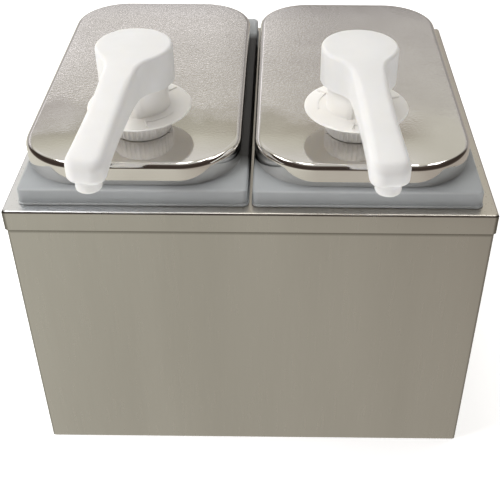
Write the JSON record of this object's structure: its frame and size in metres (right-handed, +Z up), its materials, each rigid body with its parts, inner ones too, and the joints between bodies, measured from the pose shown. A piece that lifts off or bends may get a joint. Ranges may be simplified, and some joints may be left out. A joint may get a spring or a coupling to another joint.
{
  "type": "twin condiment pump dispenser",
  "caption": "Counter-top stainless housing holding lift-out sauce tubs side by side, each with a steel lid and a push-down swivelling spout pump.",
  "frame": {"origin": "centre of the housing's flat base, on the counter", "axes": "+Z up, -Y towards the user, where the spouts point, +X the right-hand pump seen from the front"},
  "size_m": [0.33, 0.3441, 0.317],
  "materials": {
    "satin_steel": "satin",
    "polished_steel": "polished",
    "frosted_plastic": "translucent frosted polypropylene",
    "white_plastic": "satin white polypropylene",
    "silicone": "matte food-grade silicone"
  },
  "bodies": {
    "housing": {"housing_shell": "satin_steel", "top_frame": "satin_steel", "base_panel": "satin_steel", "base_screws": "polished_steel"},
    "tub_left": {"tub_left": "frosted_plastic"},
    "lid_left": {"lid_left": "polished_steel", "neck_bush_left": "white_plastic", "neck_gasket_left": "silicone", "closure_nut_left": "white_plastic", "locking_collar_left": "white_plastic", "barrel_left": "white_plastic", "barrel_gasket_left": "silicone", "stem_guide_left": "white_plastic", "ball_cage_left": "white_plastic", "dip_tube_left": "frosted_plastic", "spring_left": "polished_steel"},
    "inlet_ball_left": {"inlet_ball_left": "polished_steel"},
    "piston_left": {"piston_left": "silicone"},
    "head_left": {"pump_head_left": "white_plastic", "nozzle_tip_left": "white_plastic", "stem_left": "white_plastic"},
    "outlet_ball_left": {"outlet_ball_left": "polished_steel"},
    "tub_right": {"tub_right": "frosted_plastic"},
    "lid_right": {"lid_right": "polished_steel", "neck_bush_right": "white_plastic", "neck_gasket_right": "silicone", "closure_nut_right": "white_plastic", "locking_collar_right": "white_plastic", "barrel_right": "white_plastic", "barrel_gasket_right": "silicone", "stem_guide_right": "white_plastic", "ball_cage_right": "white_plastic", "dip_tube_right": "frosted_plastic", "spring_right": "polished_steel"},
    "inlet_ball_right": {"inlet_ball_right": "polished_steel"},
    "piston_right": {"piston_right": "silicone"},
    "head_right": {"pump_head_right": "white_plastic", "nozzle_tip_right": "white_plastic", "stem_right": "white_plastic"},
    "outlet_ball_right": {"outlet_ball_right": "polished_steel"}
  },
  "joints": [
    {"name": "tub_left_lift", "type": "slide", "parent": "housing", "child": "tub_left", "axis": [0, 0, 1], "range_m": [0, 0.2]},
    {"name": "lid_left_lift", "type": "slide", "parent": "tub_left", "child": "lid_left", "axis": [0, 0, 1], "range_m": [0, 0.205]},
    {"name": "inlet_ball_left_lift", "type": "slide", "parent": "lid_left", "child": "inlet_ball_left", "axis": [0, 0, 1], "range_m": [0, 0.003]},
    {"name": "pump_left_stroke", "type": "slide", "parent": "lid_left", "child": "piston_left", "axis": [0, 0, -1], "range_m": [0, 0.01], "stiffness_N_per_m": 700, "springref_m": -0.014, "deforming": ["spring_left"]},
    {"name": "spout_left_swivel", "type": "hinge", "parent": "piston_left", "child": "head_left", "pos_m": [-0.0765, -0.0855, 0.253], "axis": [0, 0, 1], "continuous": true},
    {"name": "outlet_ball_left_lift", "type": "slide", "parent": "head_left", "child": "outlet_ball_left", "axis": [0, 0, 1], "range_m": [0, 0.0025]},
    {"name": "tub_right_lift", "type": "slide", "parent": "housing", "child": "tub_right", "axis": [0, 0, 1], "range_m": [0, 0.2]},
    {"name": "lid_right_lift", "type": "slide", "parent": "tub_right", "child": "lid_right", "axis": [0, 0, 1], "range_m": [0, 0.205]},
    {"name": "inlet_ball_right_lift", "type": "slide", "parent": "lid_right", "child": "inlet_ball_right", "axis": [0, 0, 1], "range_m": [0, 0.003]},
    {"name": "pump_right_stroke", "type": "slide", "parent": "lid_right", "child": "piston_right", "axis": [0, 0, -1], "range_m": [0, 0.01], "stiffness_N_per_m": 700, "springref_m": -0.014, "deforming": ["spring_right"]},
    {"name": "spout_right_swivel", "type": "hinge", "parent": "piston_right", "child": "head_right", "pos_m": [0.0713, -0.0855, 0.253], "axis": [0, 0, 1], "continuous": true},
    {"name": "outlet_ball_right_lift", "type": "slide", "parent": "head_right", "child": "outlet_ball_right", "axis": [0, 0, 1], "range_m": [0, 0.0025]}
  ]
}
